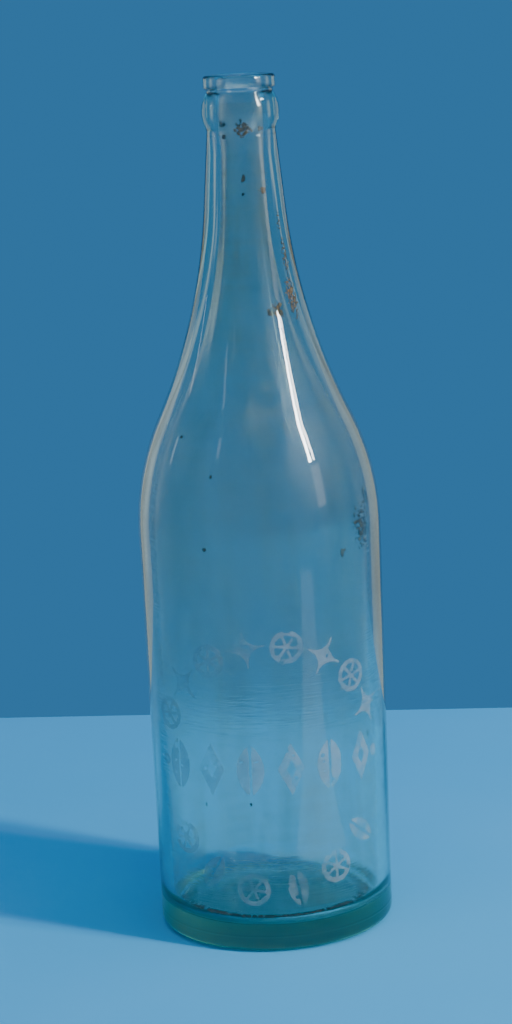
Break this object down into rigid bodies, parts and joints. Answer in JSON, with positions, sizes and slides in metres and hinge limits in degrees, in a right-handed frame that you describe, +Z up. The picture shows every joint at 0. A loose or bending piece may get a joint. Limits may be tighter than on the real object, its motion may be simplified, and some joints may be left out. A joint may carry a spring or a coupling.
{
  "type": "glass soda bottle",
  "caption": "Tall long-necked glass soda bottle with a crown finish, rounded shoulders, thick base and a worn ring of fired enamel ornaments.",
  "frame": {"origin": "centre of the ring the bottle stands on, at the standing surface", "axes": "+Z up along the bottle's axis towards the mouth, -Y towards the decorated front, +X to the right of it"},
  "size_m": [0.0916, 0.0916, 0.3225],
  "materials": {
    "bottle_glass": "clear pale aqua soda-lime glass, glossy",
    "fired_enamel": "worn greyish white vitreous enamel, satin"
  },
  "bodies": {
    "root": {"glass_bottle": "bottle_glass", "enamel_upper_slices": "fired_enamel", "enamel_upper_stars": "fired_enamel", "enamel_centre_leaves": "fired_enamel", "enamel_centre_lozenges": "fired_enamel", "enamel_lower_slices": "fired_enamel", "enamel_lower_leaves": "fired_enamel", "enamel_end_dots": "fired_enamel"}
  },
  "joints": []
}
